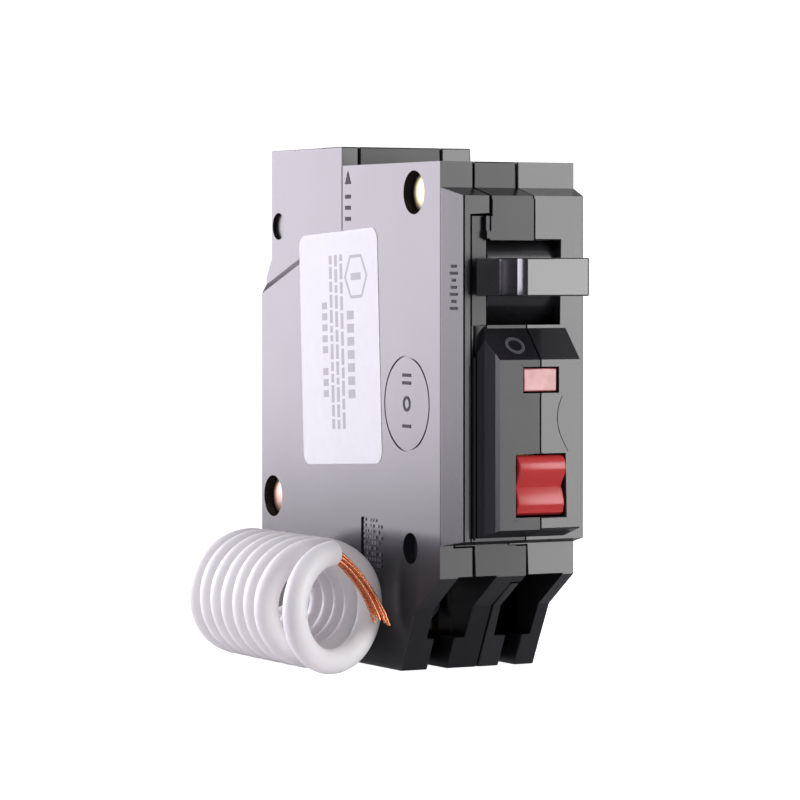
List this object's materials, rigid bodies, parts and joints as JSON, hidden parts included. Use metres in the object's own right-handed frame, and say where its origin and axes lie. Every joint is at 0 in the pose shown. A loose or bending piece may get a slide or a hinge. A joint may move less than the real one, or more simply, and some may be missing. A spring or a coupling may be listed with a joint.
{
  "type": "ground-fault circuit breaker",
  "caption": "Slim black moulded plug-in breaker with a toggle handle, a red test button, a status window, clamp terminals and a coiled white neutral wire.",
  "frame": {"origin": "middle of the rear face of the middle case piece, 44 mm above the load end's face", "axes": "+X across the pole to the plain side, away from the label; +Y towards the panel, square to the rear face; +Z from the load end to the line end; the handle points to -Y"},
  "size_m": [0.0492, 0.0831, 0.0882],
  "materials": {
    "case_plastic": "satin-gloss black thermoset",
    "handle_plastic": "glossy black",
    "button_plastic": "glossy red",
    "lens_plastic": "translucent pink",
    "label_paper": "satin white",
    "wire_insulation": "satin white",
    "lead_insulation": "satin black",
    "copper": "bare copper",
    "brass": "plated brass",
    "contact_silver": "silver alloy",
    "steel": "zinc-plated steel",
    "fibre": "vulcanised fibre",
    "board": "glass-epoxy laminate",
    "chip_plastic": "moulded black",
    "ceramic": "coated ceramic",
    "ferrite": "taped ferrite"
  },
  "bodies": {
    "case": {"left_cover": "case_plastic", "middle_case": "case_plastic", "right_case": "case_plastic", "rivet_line_front": "brass", "rivet_load_rear": "brass", "handle_pin": "steel", "contact_arm_pin": "steel", "cradle_pin": "steel", "armature_pin": "steel", "fixed_contact": "contact_silver", "line_jaw": "copper", "bimetal": "brass", "magnet_yoke": "steel", "calibration_screw": "brass", "flexible_braid": "copper", "toggle_spring": "steel", "arc_plate_1": "steel", "arc_plate_2": "steel", "arc_plate_3": "steel", "arc_chute_holder": "fibre", "circuit_board": "board", "controller_chip": "chip_plastic", "surge_suppressor": "ceramic", "filter_capacitor": "chip_plastic", "status_lamp": "lens_plastic", "current_sensor": "ferrite", "neutral_strap": "copper", "load_lead": "lead_insulation", "solenoid_coil": "copper", "solenoid_frame": "steel", "neutral_lug": "brass", "load_lug": "brass", "test_contact": "brass", "indicator_lens": "lens_plastic", "rating_label": "label_paper", "pigtail_insulation": "wire_insulation", "pigtail_conductor": "copper"},
    "handle": {"toggle_handle": "handle_plastic"},
    "contact_arm": {"contact_arm": "copper", "moving_contact": "contact_silver"},
    "cradle": {"cradle": "steel"},
    "armature": {"armature": "steel"},
    "plunger": {"solenoid_plunger": "steel"},
    "button": {"test_button": "button_plastic"},
    "load_clamp": {"load_clamp": "steel"},
    "load_screw": {"load_screw": "steel"},
    "neutral_clamp": {"neutral_clamp": "steel"},
    "neutral_screw": {"neutral_screw": "steel"}
  },
  "joints": [
    {"name": "handle_swing", "type": "hinge", "parent": "case", "child": "handle", "pos_m": [0, -0.0614, 0.0219], "axis": [1, 0, 0], "range_deg": [-12.5, 20]},
    {"name": "contact_arm_swing", "type": "hinge", "parent": "case", "child": "contact_arm", "pos_m": [0.0082, -0.0475, 0.013], "axis": [1, 0, 0], "range_deg": [-11.5, 7.02]},
    {"name": "cradle_swing", "type": "hinge", "parent": "case", "child": "cradle", "pos_m": [0.0039, -0.027, 0.017], "axis": [1, 0, 0], "range_deg": [0, 10]},
    {"name": "armature_swing", "type": "hinge", "parent": "case", "child": "armature", "pos_m": [0.0056, -0.017, 0.0085], "axis": [1, 0, 0], "range_deg": [0, 8]},
    {"name": "plunger_slide", "type": "slide", "parent": "case", "child": "plunger", "axis": [0, 1, 0], "range_m": [0, 0.0021]},
    {"name": "button_press", "type": "slide", "parent": "case", "child": "button", "axis": [0, 1, 0], "range_m": [0, 0.0015]},
    {"name": "load_clamp_slide", "type": "slide", "parent": "case", "child": "load_clamp", "axis": [0, 1, 0], "range_m": [0, 0.0032]},
    {"name": "load_screw_turn", "type": "hinge", "parent": "load_clamp", "child": "load_screw", "pos_m": [0.00705, -0.0452, -0.0331], "axis": [0, 1, 0], "range_deg": [0, 1440]},
    {"name": "neutral_clamp_slide", "type": "slide", "parent": "case", "child": "neutral_clamp", "axis": [0, 1, 0], "range_m": [0, 0.0032]},
    {"name": "neutral_screw_turn", "type": "hinge", "parent": "neutral_clamp", "child": "neutral_screw", "pos_m": [-0.0057, -0.0452, -0.0331], "axis": [0, 1, 0], "range_deg": [0, 1440]}
  ],
  "couplings": [
    {"joint": "contact_arm_swing", "follows": "handle_swing", "ratio": -0.56},
    {"joint": "load_screw_turn", "follows": "load_clamp_slide", "rad_per_m": 7853},
    {"joint": "neutral_screw_turn", "follows": "neutral_clamp_slide", "rad_per_m": 7853}
  ]
}
